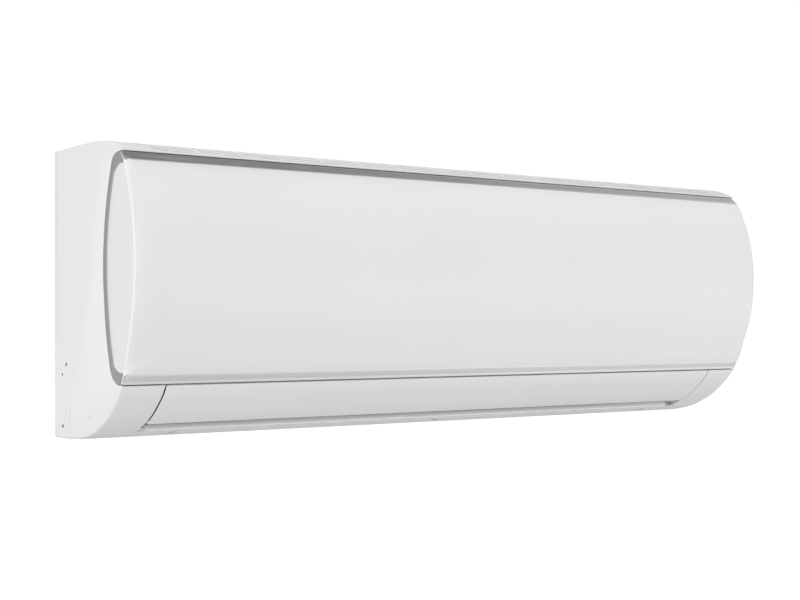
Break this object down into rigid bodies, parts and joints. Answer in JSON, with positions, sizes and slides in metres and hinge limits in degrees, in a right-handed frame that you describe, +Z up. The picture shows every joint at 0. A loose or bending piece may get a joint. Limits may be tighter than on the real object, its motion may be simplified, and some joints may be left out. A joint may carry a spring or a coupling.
{
  "type": "mini split indoor unit",
  "caption": "Wall-mounted air conditioner indoor unit: long white casing, bowed lift-up front panel in a silver band, louvred top inlet, hinged outlet flap, swing vanes, crossflow fan and coil.",
  "frame": {"origin": "on the wall plane, at the centre of the wall plate's outer screw pattern, at mid-height of the casing", "axes": "+X to the right of a person facing the unit, +Y into the wall (the front faces -Y), +Z up"},
  "size_m": [0.835, 0.2055, 0.292],
  "materials": {
    "bearing_bronze": "sintered",
    "brass": "turned",
    "case_white": "satin moulded ABS",
    "chassis_plastic": "moulded, plain",
    "circuit_board": "solder resist",
    "component_black": "moulded",
    "copper": "drawn copper tube",
    "duct_plastic": "moulded, plain",
    "fan_plastic": "glass-filled AS",
    "filter_mesh": "fine net in a frame",
    "fin_aluminium": "hydrophilic fin stock",
    "flap_white": "satin",
    "galvanised_steel": "zinc coated sheet",
    "hose_plastic": "soft tube",
    "motor_steel": "plated can",
    "panel_white": "smooth satin panel",
    "rubber_black": "matt",
    "screw_steel": "zinc plated",
    "shaft_steel": "ground",
    "trim_silver": "silver paint on plastic",
    "vane_grey": "moulded"
  },
  "bodies": {
    "chassis": {"air_duct": "duct_plastic", "bearing_ring": "rubber_black", "case_screws": "screw_steel", "clamp_screws": "screw_steel", "coil_front_lower": "fin_aluminium", "coil_front_upper": "fin_aluminium", "coil_plate_left": "galvanised_steel", "coil_plate_right": "galvanised_steel", "coil_rear": "fin_aluminium", "coil_sensor": "copper", "control_box": "galvanised_steel", "control_cover": "galvanised_steel", "display_board": "circuit_board", "drain_pan": "chassis_plastic", "drain_tube": "hose_plastic", "fan_bearing": "bearing_bronze", "fan_motor": "motor_steel", "flap_bearing": "chassis_plastic", "flap_motor": "motor_steel", "front_case": "case_white", "gas_pipe": "copper", "gas_union": "brass", "liquid_pipe": "copper", "liquid_union": "brass", "main_board": "circuit_board", "motor_clamp": "chassis_plastic", "motor_rings": "rubber_black", "pipe_clamp": "chassis_plastic", "rear_chassis": "chassis_plastic", "return_bends": "copper", "room_sensor": "component_black", "run_capacitor": "component_black", "terminal_block": "component_black", "top_grille": "case_white", "vane_motor_left": "motor_steel", "vane_motor_right": "motor_steel", "wall_plate": "galvanised_steel"},
    "fan": {"crossflow_fan": "fan_plastic", "fan_shaft": "shaft_steel", "set_screw": "shaft_steel"},
    "panel": {"front_panel": "panel_white", "panel_trim": "trim_silver", "hinge_arms": "case_white"},
    "flap": {"outlet_flap": "flap_white"},
    "filter_left": {"filter_left": "filter_mesh"},
    "filter_right": {"filter_right": "filter_mesh"},
    "reset_button": {"reset_button": "case_white"},
    "link_rod_left": {"vane_rod_left": "vane_grey"},
    "link_rod_right": {"vane_rod_right": "vane_grey"},
    "vane_l1": {"vane_l1": "vane_grey"},
    "vane_l2": {"vane_l2": "vane_grey"},
    "vane_l3": {"vane_l3": "vane_grey"},
    "vane_l4": {"vane_l4": "vane_grey"},
    "vane_l5": {"vane_l5": "vane_grey"},
    "vane_r1": {"vane_r1": "vane_grey"},
    "vane_r2": {"vane_r2": "vane_grey"},
    "vane_r3": {"vane_r3": "vane_grey"},
    "vane_r4": {"vane_r4": "vane_grey"},
    "vane_r5": {"vane_r5": "vane_grey"}
  },
  "joints": [
    {"name": "panel_hinge", "type": "hinge", "parent": "chassis", "child": "panel", "pos_m": [0, -0.1655, 0.1175], "axis": [-1, 0, 0], "range_deg": [0, 60]},
    {"name": "flap_hinge", "type": "hinge", "parent": "chassis", "child": "flap", "pos_m": [0, -0.121, -0.11], "axis": [1, 0, 0], "range_deg": [0, 85]},
    {"name": "fan_spin", "type": "hinge", "parent": "chassis", "child": "fan", "pos_m": [0, -0.082, -0.03], "axis": [1, 0, 0], "continuous": true},
    {"name": "vane_l1_turn", "type": "hinge", "parent": "chassis", "child": "vane_l1", "pos_m": [-0.346, -0.07438, -0.11209], "axis": [0, -0.704, 0.7102], "range_deg": [-35, 35]},
    {"name": "vane_l2_turn", "type": "hinge", "parent": "chassis", "child": "vane_l2", "pos_m": [-0.282, -0.07438, -0.11209], "axis": [0, -0.704, 0.7102], "range_deg": [-35, 35]},
    {"name": "vane_l3_turn", "type": "hinge", "parent": "chassis", "child": "vane_l3", "pos_m": [-0.218, -0.07438, -0.11209], "axis": [0, -0.704, 0.7102], "range_deg": [-35, 35]},
    {"name": "vane_l4_turn", "type": "hinge", "parent": "chassis", "child": "vane_l4", "pos_m": [-0.154, -0.07438, -0.11209], "axis": [0, -0.704, 0.7102], "range_deg": [-35, 35]},
    {"name": "vane_l5_turn", "type": "hinge", "parent": "chassis", "child": "vane_l5", "pos_m": [-0.09, -0.07438, -0.11209], "axis": [0, -0.704, 0.7102], "range_deg": [-35, 35]},
    {"name": "rod_left_pivot", "type": "hinge", "parent": "vane_l3", "child": "link_rod_left", "pos_m": [-0.218, -0.06302, -0.10082], "axis": [0, -0.704, 0.7102], "range_deg": [-35, 35]},
    {"name": "vane_r1_turn", "type": "hinge", "parent": "chassis", "child": "vane_r1", "pos_m": [-0.014, -0.07438, -0.11209], "axis": [0, -0.704, 0.7102], "range_deg": [-35, 35]},
    {"name": "vane_r2_turn", "type": "hinge", "parent": "chassis", "child": "vane_r2", "pos_m": [0.05, -0.07438, -0.11209], "axis": [0, -0.704, 0.7102], "range_deg": [-35, 35]},
    {"name": "vane_r3_turn", "type": "hinge", "parent": "chassis", "child": "vane_r3", "pos_m": [0.114, -0.07438, -0.11209], "axis": [0, -0.704, 0.7102], "range_deg": [-35, 35]},
    {"name": "vane_r4_turn", "type": "hinge", "parent": "chassis", "child": "vane_r4", "pos_m": [0.178, -0.07438, -0.11209], "axis": [0, -0.704, 0.7102], "range_deg": [-35, 35]},
    {"name": "vane_r5_turn", "type": "hinge", "parent": "chassis", "child": "vane_r5", "pos_m": [0.242, -0.07438, -0.11209], "axis": [0, -0.704, 0.7102], "range_deg": [-35, 35]},
    {"name": "rod_right_pivot", "type": "hinge", "parent": "vane_r3", "child": "link_rod_right", "pos_m": [0.114, -0.06302, -0.10082], "axis": [0, -0.704, 0.7102], "range_deg": [-35, 35]},
    {"name": "filter_left_lift", "type": "slide", "parent": "chassis", "child": "filter_left", "axis": [0, 0, 1], "range_m": [0, 0.004]},
    {"name": "filter_right_lift", "type": "slide", "parent": "chassis", "child": "filter_right", "axis": [0, 0, 1], "range_m": [0, 0.004]},
    {"name": "reset_press", "type": "slide", "parent": "chassis", "child": "reset_button", "axis": [0, 1, 0], "range_m": [0, 0.0015], "stiffness_N_per_m": 150, "springref_m": -0.002}
  ],
  "couplings": [
    {"joint": "vane_l1_turn", "follows": "vane_l3_turn", "ratio": 1},
    {"joint": "vane_l2_turn", "follows": "vane_l3_turn", "ratio": 1},
    {"joint": "vane_l4_turn", "follows": "vane_l3_turn", "ratio": 1},
    {"joint": "vane_l5_turn", "follows": "vane_l3_turn", "ratio": 1},
    {"joint": "rod_left_pivot", "follows": "vane_l3_turn", "ratio": -1},
    {"joint": "vane_r1_turn", "follows": "vane_r3_turn", "ratio": 1},
    {"joint": "vane_r2_turn", "follows": "vane_r3_turn", "ratio": 1},
    {"joint": "vane_r4_turn", "follows": "vane_r3_turn", "ratio": 1},
    {"joint": "vane_r5_turn", "follows": "vane_r3_turn", "ratio": 1},
    {"joint": "rod_right_pivot", "follows": "vane_r3_turn", "ratio": -1}
  ]
}
